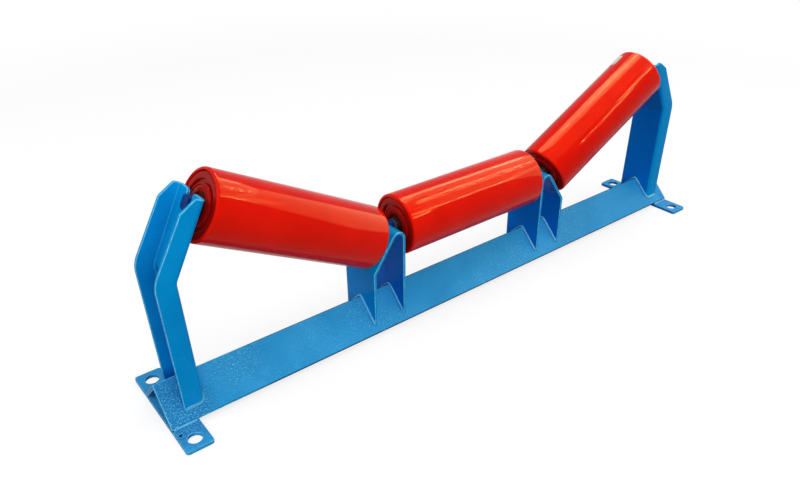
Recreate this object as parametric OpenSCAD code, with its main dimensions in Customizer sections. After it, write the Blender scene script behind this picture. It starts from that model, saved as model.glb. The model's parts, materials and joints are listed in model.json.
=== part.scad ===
// Troughing idler set: a welded cross frame that carries three identical rollers.
// The frame's length lies along X, the belt travels along Y, and the feet stand on Z = 0.

/* [Rollers] */
// Outside diameter of the roller tube
roller_d = 89; // [85:1:93]
// Length of the roller tube
roller_length = 260; // [230:5:300]
// Wall of the roller tube
tube_wall = 4; // [3.25:0.25:4.5]
// Rounding of the tube's outer rim
tube_rim_round = 3; // [0.5:0.25:3]
// Depth of the bearing housing's outer ring below the end of the tube
housing_recess = 1; // [0.5:0.25:2]
// Sheet thickness of the pressed bearing housing
housing_sheet = 3; // [2:0.25:3.5]
// Length of the housing's skirt that lies in the tube
housing_skirt = 12; // [8:1:16]
// Depth of the groove round the bearing cup below the end of the tube
groove_floor = 4.5; // [3:0.25:6]
// Width of the groove round the bearing cup
groove_width = 4.5; // [3:0.25:6]
// Rounding of the edge where the housing's ring turns down into the groove
groove_round = 1.5; // [0.5:0.25:1.75]
// Height of the bearing cup's lip above the housing's outer ring
cup_lip = 0.5; // [0:0.1:0.5]
// Rounding of the housing's outer bend
housing_bend = 4; // [3.5:0.25:4.5]

/* [Bearings] */
// Outside diameter of the deep groove ball bearing
bearing_od = 47; // [45:1:50]
// Width of the bearing
bearing_w = 14; // [12:1:16]
// Diameter of one ball
ball_d = 7.94; // [7:0.1:8.2]
// Balls in one bearing
ball_count = 8; // [6:1:8]
// Radial width of the ball cage
cage_band = 2.4; // [1.8:0.1:3]

/* [Seals] */
// Depth of the cap ring's face below the end of the tube
cap_depth = 0.75; // [0.5:0.25:1.25]
// Sheet thickness of the cap ring
cap_t = 1.5; // [1:0.25:2]
// Radius of the hole in the cap ring
cap_bore_r = 16.5; // [16:0.25:18]
// Rounding of the cap ring's outer bend
cap_bend = 2; // [2:0.25:3]
// Depth of the dust cover's face below the end of the tube
cover_depth = 1.5; // [1:0.25:2]
// Thickness of the dust cover
cover_t = 2; // [1.5:0.25:2.5]
// Axial room between neighbouring seal parts
seal_gap = 0.5; // [0.4:0.05:0.8]
// Width of the labyrinth seal
labyrinth_w = 5.6; // [5:0.2:7]
// Thickness of the labyrinth's discs
labyrinth_disc = 1.2; // [0.8:0.1:1.4]
// Radial thickness of one labyrinth ring
labyrinth_ring = 1; // [0.8:0.1:1.1]
// Thickness of the circlip
circlip_t = 1.2; // [1:0.1:1.5]
// Radial width of the circlip
circlip_band = 2.6; // [2.2:0.1:3]

/* [Shaft] */
// Diameter of the shaft
shaft_d = 20; // [18:0.5:21]
// Width across the two flats at each end of the shaft
shaft_flats = 14; // [12:0.5:15]
// How far the shaft stands out of the tube at each end
shaft_reach = 16; // [15:0.25:16.5]
// Distance from the tube's end to the shoulder where the flats start
shoulder_reach = 8; // [7:0.25:8.5]
// Chamfer on the shaft's ends
shaft_chamfer = 1; // [0.5:0.25:1.5]
// Depth of the circlip's groove in the shaft
groove_depth = 0.5; // [0.3:0.1:0.8]

/* [Trough] */
// Angle of the wing rollers to the ground
trough_angle = 28; // [25:1:31]
// Height of the centre roller's axis above the ground
centre_axis_z = 144; // [142:1:150]
// Level distance from the centre roller's end to the middle of the wing's inner end
nip_x = 48; // [46:0.5:52]
// How far the middle of the wing's inner end lies below the centre roller's axis
wing_drop = 3.5; // [0:0.5:5]
// Clear distance from a tube's end to the plate that faces it
plate_gap = 8.5; // [8.5:0.25:10]

/* [Base] */
// Leg of the equal angle iron
angle_leg = 60; // [56:1:64]
// Thickness of the angle iron
angle_t = 5; // [4:0.5:7]
// Fillet inside the angle's root
angle_root = 6; // [4:0.5:8]
// Rounding inside the angle's toes
angle_toe = 2.5; // [1:0.25:3.5]
// Length of a foot plate, across the frame
foot_length = 170; // [164:2:200]
// Width of a foot plate, along the frame
foot_width = 35; // [30:1:40]
// Thickness of a foot plate
foot_t = 5; // [4:0.5:8]
// Corner radius of a foot plate
foot_corner = 4; // [1:0.5:8]
// Diameter of a bolt hole
bolt_hole_d = 18; // [12:0.5:20]
// Distance between the two bolt holes of a foot plate
bolt_spacing = 135; // [132:1:140]

/* [End posts] */
// Thickness of the post's plate
post_t = 4; // [3:0.5:5]
// Width of a post's web over the flanges
post_width = 64; // [56:2:72]
// Depth of a post over its web and flange, up to the knee
post_depth = 26.5; // [24:0.5:30]
// Depth of a post over its web and flange, near the top
post_top_depth = 24; // [22:0.5:24]
// Height of the knee in the web's inner face
post_knee_z = 191; // [185:1:200]
// Outward lean of the post below its knee
post_lean = 1.5; // [0:0.5:3]
// Inside radius of the knee, on the web's roller side
post_knee_r = 14; // [6:1:24]
// Outside radius of the bend between web and flange
post_bend = 6; // [5.5:0.5:9]
// Distance from the web's inner face at the ridge to the end of the frame
post_to_end = 48.45; // [42:0.05:60]
// How far the web rises above the wing's axis
post_rise = 14.5; // [13:0.5:20]
// Chamfer on the top of a flange, measured across the flange
flange_chamfer_w = 12; // [6:1:13]
// How far below the wing's axis that chamfer starts
flange_chamfer_start = 6; // [2:1:10]
// Rounding between that chamfer and the top of the flange
flange_tip_round = 5; // [2:0.5:7]
// Rounding of the web's corners at the mouth of the slot
slot_mouth_round = 5; // [2:0.5:7]

/* [Inner brackets] */
// Thickness of the bracket's strip
bracket_t = 4; // [3:0.5:4.5]
// Width of the bracket's strip
bracket_width = 70; // [60:2:76]
// Lean of the bracket's sloping leg from upright
bracket_lean = 35; // [33:1:37]
// Clearance between the wing tube's lowest corner and the sloping leg
bracket_gap = 5; // [4:0.25:5]
// Height where the sloping leg turns upright
bracket_knee_z = 100; // [90:1:106]
// Outside radius of the bracket's top fold
bracket_fold_r = 12; // [10:0.5:14]
// Outside radius of the bracket's knee
bracket_knee_r = 8; // [6:0.5:12]

/* [Fits and welds] */
// Clearance between the shaft's flats and each side of a slot
slot_clear = 0.2; // [0.1:0.05:0.5]
// Clearance under the edges of the shaft's flats in the slot's round end
seat_clear = 0.05; // [0.05:0.05:0.2]
// Radial clearance of parts that are pressed together
press_clear = 0.05; // [0.02:0.01:0.08]
// Radial clearance between the balls and their raceways
race_clear = 0.06; // [0.03:0.01:0.1]
// Radial clearance between still and turning seal parts
run_clear = 0.5; // [0.4:0.05:0.6]
// Radius of a weld bead
weld_r = 3.5; // [2:0.25:4]

/* [Hidden] */
$fn = 96;
// How far a cutter runs past a face, and the reach of a cutter that has no end
over = 1;
far = 800;
// Flat steps in a bend
bend_steps = 6;
// How much fuller a weld bead is where it turns over the ridge
weld_swell = 1.06;

SIDES = ["left", "centre", "right"];
ENDS = [["left_outer", "left_inner"], ["centre_right", "centre_left"], ["right_outer", "right_inner"]];
ROLLER_PARTS = ["tube", "cap_rings", "outer_rings", "inner_rings", "balls", "cages", "labyrinth_rotors",
                "labyrinth_stators", "grease_seals", "dust_covers", "circlips", "shaft"];

// Base: the angle stands on its toe roundings, so they set the ridge's height
ridge_z = foot_t + (angle_leg + angle_t) / sqrt(2) - angle_toe * (sqrt(2) - 1);
toe_contact_y = (angle_leg - angle_t) / sqrt(2);
toe_corner_y = angle_leg / sqrt(2);

// Rollers
roller_r = roller_d / 2;
tube_bore_r = roller_r - tube_wall;
shaft_r = shaft_d / 2;
half_flats = shaft_flats / 2;

// Wing axis: its inner end, its direction, and the planes that stand square to it
wing_x = roller_length / 2 + nip_x;
wing_z = centre_axis_z - wing_drop;
web_s = roller_length + plate_gap;

// End post: the knee lies where the web's plane reaches the knee's height
knee_x = wing_x + (web_s - (post_knee_z - wing_z) * sin(trough_angle)) / cos(trough_angle);
knee_turn = trough_angle + post_lean;
knee_tangent = post_knee_r * tan(knee_turn / 2);
post_foot_x = knee_x - (post_knee_z - ridge_z) * tan(post_lean);
post_top_run = post_rise - ((knee_x - wing_x) * -sin(trough_angle) + (post_knee_z - wing_z) * cos(trough_angle));
frame_length = 2 * (post_foot_x + post_to_end);

// Inner bracket: the sloping leg's outer face is the line lean_x * x + lean_z * z = lean_c
lean_x = cos(bracket_lean);
lean_z = sin(bracket_lean);
wing_corner_x = wing_x + roller_r * sin(trough_angle);
wing_corner_z = wing_z - roller_r * cos(trough_angle);
lean_c = lean_x * wing_corner_x + lean_z * wing_corner_z - bracket_gap;
near_x = roller_length / 2 + plate_gap;
fold_x = near_x + bracket_fold_r;
fold_z = (lean_c - bracket_fold_r - lean_x * fold_x) / lean_z;
leg_x = (lean_c - lean_z * bracket_knee_z) / lean_x;
knee_z = bracket_knee_z - bracket_knee_r * tan(bracket_lean / 2);

// Slots: the edges of the shaft's flats rest on the slot's round end
slot_r = half_flats + slot_clear;
flat_edge = sqrt(pow(shaft_r, 2) - pow(half_flats, 2));
seat_drop = flat_edge - sqrt(pow(slot_r, 2) - pow(half_flats, 2)) + seat_clear;
bracket_slot_depth = shaft_reach + 8;

// Roller end, measured inwards from the tube's end
cup_bore_r = bearing_od / 2 + press_clear;
cup_r = cup_bore_r + housing_sheet;
circlip_a = cover_depth + cover_t + seal_gap;
labyrinth_a = circlip_a + circlip_t;
bearing_a = labyrinth_a + labyrinth_w;
shoulder_a = bearing_a + bearing_w;
shoulder_r = bearing_od / 2 - housing_sheet;
cup_end_a = shoulder_a + housing_sheet;

// Bearing
pitch_r = (bearing_od / 2 + shaft_r) / 2;
ball_r = ball_d / 2;
race_share = 0.78;
race_shoulder = ball_r * race_share;
inner_ring_r = pitch_r - race_shoulder;
outer_ring_bore_r = pitch_r + race_shoulder;
cage_margin = 1.8;
pocket_clear = 0.2;

// Labyrinth: rings stand alternately on the stator and on the rotor
hub_wall = 1.4;
hub_r = shaft_r + press_clear + hub_wall;
rotor_r = cup_bore_r - press_clear;
rotor_wall = 2;
rotor_disc_a = bearing_a - seal_gap - labyrinth_disc;
ring_pitch = (rotor_r - rotor_wall - hub_r) / 4;

function arc(centre, r, from, to, steps) =
    [for (k = [0:steps]) let (a = from + (to - from) * k / steps) centre + r * [cos(a), sin(a)]];

module quarter_wedge(reach, from, to) {
    span = (to - from) / 3;
    polygon(concat([[0, 0]], [for (k = [0:3]) reach * [cos(from + k * span), sin(from + k * span)]]));
}

// A bent strip: the part of a ring between two angles
module bent_strip(outer_r, t, from, to) {
    intersection() {
        difference() {
            circle(outer_r);
            circle(outer_r - t);
        }
        quarter_wedge(2 * outer_r, from, to);
    }
}

// A plate outline with four round corners
module rounded_plate(size, r) {
    square([size[0] - 2 * r, size[1]], center = true);
    square([size[0], size[1] - 2 * r], center = true);
    for (sx = [-1, 1], sy = [-1, 1])
        translate([sx * (size[0] / 2 - r), sy * (size[1] / 2 - r)]) circle(r);
}

// The space below the angle's two outer faces
module under_ridge(length = 2 * far) {
    translate([0, 0, ridge_z])
        rotate([90, 0, 90])
            linear_extrude(length, center = true)
                polygon([[0, 0], [far, -far], [-far, -far]]);
}

module angle_section() {
    rotate(225) {
        difference() {
            square(angle_leg);
            translate([angle_t, angle_t]) square(angle_leg);
            for (flip = [0, 1])
                mirror([flip, -flip])
                    translate([angle_leg - angle_toe, angle_t - angle_toe])
                        difference() {
                            square(angle_toe + over);
                            circle(angle_toe);
                        }
        }
        translate([angle_t, angle_t])
            difference() {
                square(angle_root);
                translate([angle_root, angle_root]) circle(angle_root);
            }
    }
}

module base_angle() {
    color("#1a7fc4")
        translate([0, 0, ridge_z])
            rotate([90, 0, 90])
                linear_extrude(frame_length, center = true)
                    angle_section();
}

module foot_plate() {
    color("#1a86cc")
        translate([(frame_length - foot_width) / 2, 0, 0])
            difference() {
                linear_extrude(foot_t) rounded_plate([foot_width, foot_length], foot_corner);
                for (s = [-1, 1])
                    translate([0, s * bolt_spacing / 2, -over])
                        cylinder(d = bolt_hole_d, h = foot_t + 2 * over);
            }
}

// Origin at the middle of the wing's inner end, X along the wing's axis, Z square to it
module on_wing() {
    translate([wing_x, 0, wing_z])
        rotate([0, -trough_angle, 0])
            children();
}

// The space that a shaft end sweeps in its slot, from its seat upwards
module slot_space(from, to) {
    translate([from, 0, -seat_drop]) {
        rotate([0, 90, 0]) cylinder(r = slot_r, h = to - from);
        translate([0, -slot_r, 0]) cube([to - from, 2 * slot_r, far]);
    }
}

// One face of the post's section, from flange to flange round both corners, as points
// [distance out from the web's inner face, y]. The outer face has no inset.
function post_face(depth, inset) =
    let (half = post_width / 2, bend = [post_bend, half - post_bend], r = post_bend - inset)
    concat(
        [[depth, half - inset]],
        arc(bend, r, 90, 180, bend_steps),
        arc([bend[0], -bend[1]], r, 180, 270, bend_steps),
        [[depth, inset - half]]
    );

// The post's section: out along its outer face and back along its inner face
function post_section(depth) =
    let (inner = post_face(depth, post_t), last = len(inner) - 1)
    concat(post_face(depth, 0), [for (k = [0:last]) inner[last - k]]);

// Stations up the post, each with a point on the web's inner face, the turn of the
// section from level, and the depth of the flanges there
function post_stations() =
    let (
        knee = [knee_x, post_knee_z],
        below = [sin(post_lean), cos(post_lean)],
        above = [-sin(trough_angle), cos(trough_angle)],
        centre = knee - knee_tangent * below - post_knee_r * [cos(post_lean), -sin(post_lean)]
    )
    concat(
        [[knee - post_knee_z * below, -post_lean, post_depth]],
        [for (k = [0:bend_steps])
            let (turn = -post_lean + knee_turn * k / bend_steps)
            [centre + post_knee_r * [cos(turn), sin(turn)], turn, post_depth]],
        [[knee + (post_top_run - post_rise - flange_chamfer_start) * above, trough_angle, post_top_depth],
         [knee + post_top_run * above, trough_angle, post_top_depth]]
    );

// The bent channel before it is trimmed: its section swept up through the stations
module post_channel() {
    stations = post_stations();
    count = len(post_section(post_depth));
    last = len(stations) - 1;
    points = [for (st = stations, p = post_section(st[2]))
        [st[0][0] + p[0] * cos(st[1]), p[1], st[0][1] + p[0] * sin(st[1])]];
    sides = [for (i = [0:last - 1], k = [0:count - 1])
        let (next = (k + 1) % count)
        [i * count + k, (i + 1) * count + k, (i + 1) * count + next, i * count + next]];
    foot = [for (k = [0:count / 2 - 2]) [k, k + 1, count - 2 - k, count - 1 - k]];
    top = [for (face = foot) [for (k = [3:-1:0]) last * count + face[k]]];
    polyhedron(points, concat(sides, foot, top));
}

// Cuts the flanges' free corners off at the top, with a round tip
module flange_chamfer() {
    height = post_rise + flange_chamfer_start;
    slope = atan2(flange_chamfer_w, height);
    corner = [web_s + post_top_depth - flange_chamfer_w, post_rise];
    to_centre = ([cos(slope), sin(slope)] + [0, 1]) / (1 + sin(slope));
    tip = corner - flange_tip_round * to_centre;
    rotate([90, 0, 0])
        linear_extrude(2 * far, center = true)
            polygon(concat(
                [corner + 2 * [flange_chamfer_w, -height]],
                arc(tip, flange_tip_round, slope, 90, bend_steps),
                [[tip[0], post_rise + over], [corner[0] + far, post_rise + over],
                 [corner[0] + far, corner[1] - 2 * height]]
            ));
}

// Rounds the web's corners at the mouth of the slot
module slot_mouth() {
    for (s = [-1, 1])
        translate([web_s - over, s * (slot_r + slot_mouth_round), post_rise - slot_mouth_round])
            rotate([90, 0, 90])
                linear_extrude(post_t + 2 * over)
                    difference() {
                        translate([s > 0 ? -slot_mouth_round - over : 0, 0])
                            square(slot_mouth_round + over);
                        circle(slot_mouth_round);
                    }
}

module end_post() {
    color("#0f6fb8")
        difference() {
            post_channel();
            under_ridge();
            on_wing() {
                slot_space(web_s - over, web_s + post_depth + over);
                slot_mouth();
                flange_chamfer();
            }
        }
}

// The bracket's side view: up, over the top fold, down the slope, and down to the angle
module bracket_section() {
    fold = [fold_x, fold_z];
    knee = [leg_x - bracket_knee_r, knee_z];
    polygon(concat(
        [[near_x, 0]],
        arc(fold, bracket_fold_r, 180, bracket_lean, 2 * bend_steps),
        arc(knee, bracket_knee_r, bracket_lean, 0, bend_steps),
        [[leg_x, 0], [leg_x - bracket_t, 0]],
        arc(knee, bracket_knee_r - bracket_t, 0, bracket_lean, bend_steps),
        arc(fold, bracket_fold_r - bracket_t, bracket_lean, 180, 2 * bend_steps),
        [[near_x + bracket_t, 0]]
    ));
}

module bracket_strip() {
    rotate([90, 0, 0])
        linear_extrude(bracket_width, center = true) bracket_section();
}

module inner_bracket() {
    color("#0f6fb8")
        difference() {
            bracket_strip();
            under_ridge();
            translate([near_x - over, 0, centre_axis_z])
                slot_space(0, bracket_fold_r + over);
            on_wing() slot_space(-bracket_slot_depth, -over);
        }
}

// A round bead from the ridge down both of the angle's outer faces, fuller at the ridge
module ridge_bead(half_width) {
    sphere(weld_r * weld_swell);
    for (a = [-135, 135])
        rotate([a, 0, 0]) cylinder(r = weld_r, h = half_width * sqrt(2));
}

// The beads run round the outside of the web and flanges, and over the ridge inside them
module post_welds() {
    half = post_width / 2;
    color("#3a9ad8")
        difference() {
            translate([post_foot_x, 0, ridge_z])
                rotate([0, post_lean, 0]) {
                    difference() {
                        union() {
                            ridge_bead(half);
                            for (s = [-1, 1])
                                translate([0, s * half, -half]) {
                                    sphere(weld_r + post_bend / 4);
                                    rotate([0, 90, 0]) cylinder(r = weld_r, h = post_depth);
                                }
                        }
                        translate([0, 0, -2 * half])
                            linear_extrude(4 * half) polygon(post_face(post_depth, 0));
                    }
                    intersection() {
                        translate([post_t, 0, 0]) ridge_bead(half);
                        translate([0, 0, -2 * half])
                            linear_extrude(4 * half) polygon(post_face(post_depth, post_t));
                    }
                }
            under_ridge();
        }
}

module bracket_welds() {
    color("#3a9ad8")
        difference() {
            for (face = [[near_x, -1], [near_x + bracket_t, 1], [leg_x - bracket_t, -1], [leg_x, 1]])
                translate([face[0], 0, ridge_z])
                    intersection() {
                        ridge_bead(bracket_width / 2);
                        translate([face[1] * far, 0, 0]) cube(2 * far, center = true);
                    }
            under_ridge();
        }
}

module foot_welds() {
    bead_r = weld_r + (toe_corner_y - toe_contact_y) / 2;
    color("#3a9ad8")
        difference() {
            for (s = [-1, 1])
                translate([frame_length / 2 - foot_width + over, s * toe_corner_y, foot_t])
                    rotate([0, 90, 0]) cylinder(r = bead_r, h = foot_width - 2 * over);
            translate([0, 0, foot_t - far]) cube([2 * far, 2 * far, 2 * far], center = true);
            under_ridge_inside();
        }
}

// The angle and everything between its legs
module under_ridge_inside() {
    base_angle();
    translate([0, 0, far / 2])
        cube([4 * far, 2 * toe_contact_y, far], center = true);
}

// ---- Roller parts: the axis is Z, and the origin is the middle of the roller ----

// Draws its children at both ends, with Z pointing into the tube from the tube's end
module at_both_ends() {
    for (end = [0, 1]) at_end(end) children();
}

module at_end(end) {
    mirror([0, 0, end])
        translate([0, 0, roller_length / 2])
            mirror([0, 0, 1])
                children();
}

// A ring between two radii and two depths
module ring(inner_r, outer_r, from, to) {
    rotate_extrude()
        translate([inner_r, from]) square([outer_r - inner_r, to - from]);
}

module tube() {
    color("#e02818")
        rotate_extrude()
            intersection() {
                translate([tube_bore_r, -roller_length / 2]) square([tube_wall, roller_length]);
                union() {
                    translate([0, -roller_length / 2])
                        square([roller_r - tube_rim_round, roller_length]);
                    translate([0, tube_rim_round - roller_length / 2])
                        square([roller_r, roller_length - 2 * tube_rim_round]);
                    for (s = [-1, 1])
                        translate([roller_r - tube_rim_round, s * (roller_length / 2 - tube_rim_round)])
                            circle(tube_rim_round);
                }
            }
}

// Pressed from one sheet: a skirt, a bend, a ring, a groove and a drawn cup that holds the bearing
module housing_section() {
    skirt_r = tube_bore_r - press_clear;
    lip_round = housing_sheet / 2;
    step_r = cup_r + groove_width;
    ring_r = step_r + groove_round;
    translate([skirt_r - housing_bend, housing_recess + housing_bend])
        rotate(-90) bent_strip(housing_bend, housing_sheet, 0, 90);
    translate([skirt_r - housing_sheet, housing_recess + housing_bend])
        square([housing_sheet, housing_skirt - housing_bend]);
    translate([ring_r, housing_recess])
        square([skirt_r - housing_bend - ring_r, housing_sheet]);
    translate([ring_r, housing_recess + groove_round]) circle(groove_round);
    translate([step_r, housing_recess + groove_round])
        square([housing_sheet, groove_floor + housing_sheet - housing_recess - groove_round]);
    translate([cup_bore_r, groove_floor])
        square([step_r + housing_sheet - cup_bore_r, housing_sheet]);
    translate([cup_bore_r + lip_round, housing_recess - cup_lip + lip_round]) circle(lip_round);
    translate([cup_bore_r, housing_recess - cup_lip + lip_round])
        square([housing_sheet, cup_end_a - housing_recess + cup_lip - lip_round]);
    translate([shoulder_r, shoulder_a])
        square([cup_r - shoulder_r, housing_sheet]);
}

module housing() {
    color("#b81812") rotate_extrude() housing_section();
}

// Cuts the ball groove, in line with the middle of the bearing
module raceway() {
    rotate_extrude()
        translate([pitch_r, bearing_a + bearing_w / 2]) circle(ball_r + race_clear);
}

module outer_rings() {
    color("silver")
        at_both_ends()
            difference() {
                ring(outer_ring_bore_r, bearing_od / 2, bearing_a, shoulder_a);
                raceway();
            }
}

module inner_rings() {
    color("silver")
        at_both_ends()
            difference() {
                ring(shaft_r + press_clear, inner_ring_r, bearing_a, shoulder_a);
                raceway();
            }
}

module balls() {
    color("gainsboro")
        at_both_ends()
            for (k = [0:ball_count - 1])
                rotate([0, 0, k * 360 / ball_count])
                    translate([pitch_r, 0, bearing_a + bearing_w / 2]) sphere(ball_r, $fn = 48);
}

module cages() {
    color("silver")
        at_both_ends()
            difference() {
                ring(pitch_r - cage_band / 2, pitch_r + cage_band / 2,
                     bearing_a + cage_margin, shoulder_a - cage_margin);
                for (k = [0:ball_count - 1])
                    rotate([0, 90, k * 360 / ball_count])
                        translate([-bearing_a - bearing_w / 2, 0, 0])
                            cylinder(r = ball_r + pocket_clear, h = bearing_od / 2);
            }
}

// The labyrinth's ring number k, counted outwards from the hub
module labyrinth_ring_at(k, from, to) {
    middle = hub_r + k * ring_pitch;
    ring(middle - labyrinth_ring / 2, middle + labyrinth_ring / 2, from, to);
}

// Turns with the tube: an outer wall, a disc near the bearing and a ring that faces outwards
module labyrinth_rotors() {
    color("#303030")
        at_both_ends() {
            ring(rotor_r - rotor_wall, rotor_r, labyrinth_a, bearing_a);
            ring(hub_r + run_clear, rotor_r, rotor_disc_a, rotor_disc_a + labyrinth_disc);
            labyrinth_ring_at(2, labyrinth_a + labyrinth_disc + seal_gap, rotor_disc_a + labyrinth_disc);
        }
}

// Stands still on the shaft: a hub, a disc behind the circlip and two rings that face inwards
module labyrinth_stators() {
    color("#505050")
        at_both_ends() {
            ring(shaft_r + press_clear, hub_r, labyrinth_a, bearing_a);
            ring(shaft_r + press_clear, hub_r + 3 * ring_pitch + labyrinth_ring / 2,
                 labyrinth_a, labyrinth_a + labyrinth_disc);
            for (k = [1, 3]) labyrinth_ring_at(k, labyrinth_a, rotor_disc_a - seal_gap);
        }
}

// Closes the grease chamber behind the bearing
module grease_seals() {
    color("#404040")
        at_both_ends()
            ring(shaft_r + run_clear, shoulder_r - press_clear, shoulder_a + seal_gap, cup_end_a);
}

// A painted ring pressed into the bearing cup over the labyrinth, with a rounded inner edge
module cap_rings() {
    bend_r = rotor_r - cap_bend;
    edge_r = cap_bore_r + cap_t / 2;
    color("#d02014")
        at_both_ends()
            rotate_extrude() {
                translate([bend_r, cap_depth + cap_bend])
                    rotate(-90) bent_strip(cap_bend, cap_t, 0, 90);
                translate([rotor_r - cap_t, cap_depth + cap_bend])
                    square([cap_t, labyrinth_a - cap_depth - cap_bend]);
                translate([edge_r, cap_depth]) square([bend_r - edge_r, cap_t]);
                translate([edge_r, cap_depth + cap_t / 2]) circle(cap_t / 2);
            }
}

// A black disc pressed on the shaft inside the cap ring, with a raised rim and hub
module dust_covers() {
    outer = cap_bore_r - run_clear;
    rim = 1.5;
    hub = 2.5;
    color("#181818")
        at_both_ends() {
            ring(shaft_r + press_clear, outer, cover_depth + cover_t / 2, cover_depth + cover_t);
            ring(outer - rim, outer, cover_depth, cover_depth + cover_t);
            ring(shaft_r + press_clear, shaft_r + hub, cover_depth, cover_depth + cover_t);
        }
}

// A spring ring with a gap between two drilled lugs
module circlips() {
    seat_r = shaft_r - groove_depth;
    outer = seat_r + circlip_band;
    lug_r = 1.6;
    lug_turn = 16;
    color("dimgray")
        at_both_ends()
            translate([0, 0, circlip_a])
                linear_extrude(circlip_t)
                    difference() {
                        union() {
                            circle(outer);
                            for (s = [-1, 1])
                                rotate(s * lug_turn) translate([outer, 0]) circle(lug_r);
                        }
                        circle(seat_r);
                        quarter_wedge(2 * outer, -lug_turn / 2, lug_turn / 2);
                        for (s = [-1, 1])
                            rotate(s * lug_turn) translate([outer, 0]) circle(lug_r / 2, $fn = 24);
                    }
}

module shaft_blank() {
    half = roller_length / 2 + shaft_reach;
    translate([0, 0, shaft_chamfer - half]) cylinder(r = shaft_r, h = 2 * (half - shaft_chamfer));
    for (s = [0, 1])
        mirror([0, 0, s])
            translate([0, 0, half - shaft_chamfer])
                cylinder(r1 = shaft_r, r2 = shaft_r - shaft_chamfer, h = shaft_chamfer);
}

// A bright bar with two flats milled at each end and a groove for each circlip
module shaft() {
    flats = shaft_reach - shoulder_reach;
    color("#8f9aa6")
        difference() {
            shaft_blank();
            at_both_ends() {
                for (s = [-1, 1])
                    translate([-shaft_d, s > 0 ? half_flats : -half_flats - shaft_d, -shaft_reach - over])
                        cube([2 * shaft_d, shaft_d, flats + over]);
                ring(shaft_r - groove_depth - press_clear, shaft_r + over,
                     circlip_a - press_clear, circlip_a + circlip_t + press_clear);
            }
        }
}

// Puts a roller part in its place: a wing's local +Z end is its outer end
module place(side) {
    reach = roller_length / 2;
    wing = [wing_x + reach * cos(trough_angle), wing_z + reach * sin(trough_angle)];
    if (side == "centre")
        translate([0, 0, centre_axis_z]) rotate([0, 90, 0]) children();
    else
        translate([(side == "left" ? -1 : 1) * wing[0], 0, wing[1]])
            rotate([0, (side == "left" ? -1 : 1) * (90 - trough_angle), 0])
                children();
}

module left() {
    mirror([1, 0, 0]) children();
}

base_angle();
left() foot_plate();  // foot_plate_left
foot_plate();  // foot_plate_right
left() end_post();  // end_post_left
end_post();  // end_post_right
left() inner_bracket();  // inner_bracket_left
inner_bracket();  // inner_bracket_right
left() foot_welds();  // foot_welds_left
foot_welds();  // foot_welds_right
left() post_welds();  // post_welds_left
post_welds();  // post_welds_right
left() bracket_welds();  // bracket_welds_left
bracket_welds();  // bracket_welds_right

for (i = [0:2]) {
    side = SIDES[i];
    for (end = [0, 1])
        place(side) at_end(end) housing();
    place(side) tube();
    place(side) cap_rings();
    place(side) outer_rings();
    place(side) inner_rings();
    place(side) balls();
    place(side) cages();
    place(side) labyrinth_rotors();
    place(side) labyrinth_stators();
    place(side) grease_seals();
    place(side) dust_covers();
    place(side) circlips();
    place(side) shaft();
}
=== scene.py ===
"""Looks for the troughing idler set: a blue welded frame that carries three red rollers."""
import json
import math
import random

import bmesh
import bpy
from mathutils import Matrix, Vector


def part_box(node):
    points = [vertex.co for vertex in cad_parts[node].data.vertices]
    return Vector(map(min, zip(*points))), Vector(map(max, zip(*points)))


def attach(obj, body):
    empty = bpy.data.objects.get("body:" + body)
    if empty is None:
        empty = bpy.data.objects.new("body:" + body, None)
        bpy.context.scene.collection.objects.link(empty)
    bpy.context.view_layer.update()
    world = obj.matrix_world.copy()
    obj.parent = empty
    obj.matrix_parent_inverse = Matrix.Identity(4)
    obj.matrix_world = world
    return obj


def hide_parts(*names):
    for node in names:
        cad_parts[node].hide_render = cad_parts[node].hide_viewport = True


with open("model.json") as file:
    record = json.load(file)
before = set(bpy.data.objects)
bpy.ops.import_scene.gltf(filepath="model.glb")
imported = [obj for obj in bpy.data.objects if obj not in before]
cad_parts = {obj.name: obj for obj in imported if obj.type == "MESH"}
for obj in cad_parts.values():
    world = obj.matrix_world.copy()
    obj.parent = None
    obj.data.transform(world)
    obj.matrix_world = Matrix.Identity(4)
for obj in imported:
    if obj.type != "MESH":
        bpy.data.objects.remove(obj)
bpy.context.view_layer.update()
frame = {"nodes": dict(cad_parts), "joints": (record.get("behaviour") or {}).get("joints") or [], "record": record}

MM = 0.001
SIDES = ("left", "centre", "right")
# The sine of 45 degrees, at which the legs of the angle iron slope
SLOPE = math.sqrt(0.5)
DRAW = random.Random(11)


# ---- What the frame says ----
def drum_axis(side):
    """The middle of a roller, its axis, and a turn that lays Z along the axis."""
    for joint in frame["joints"]:
        if joint["name"] == side + "_drum_spin":
            axis = Vector(joint["axis"]).normalized()
            if axis.x < 0:
                axis = -axis
            return Vector(joint["pos_m"]), axis, axis.to_track_quat("Z", "Y").to_matrix()
    raise ValueError(side)


low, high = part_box("centre_tube")
ROLLER_HALF = (high.x - low.x) / 2
ROLLER_R = (high.z - low.z) / 2
FRAME_HALF, TOE_Y, RIDGE_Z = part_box("base_angle")[1]
FOOT_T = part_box("foot_plate_left")[1].z
LEG_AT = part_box("inner_bracket_left")[0].x

# Sizes repeated from the solids, which no box gives
TUBE_WALL = 4 * MM
TUBE_RIM_ROUND = 3 * MM
POST_T = 4 * MM
POST_WIDTH = 64 * MM
POST_DEPTH = 26.5 * MM
POST_BEND = 6 * MM
POST_TO_END = 48.45 * MM
POST_AT = FRAME_HALF - POST_TO_END
BRACKET_T = 4 * MM

# ---- Camera ----
# The photograph's viewing angle: a turn round the upright, a height above the horizon and a
# roll. The focal length and the shift are shares of the picture's width.
CAMERA_PLACE = Vector((-0.661544, -0.703430, 0.614587))
CAMERA_AZIMUTH = math.radians(-38.31)
CAMERA_ELEVATION = math.radians(30.06)
CAMERA_ROLL = math.radians(-0.37)
CAMERA_FOCUS = 0.881495
CAMERA_SHIFT = (-0.01063625, -0.0018625)
CAMERA_CLIP = (0.01, 100)
SENSOR = 36.0


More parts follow.
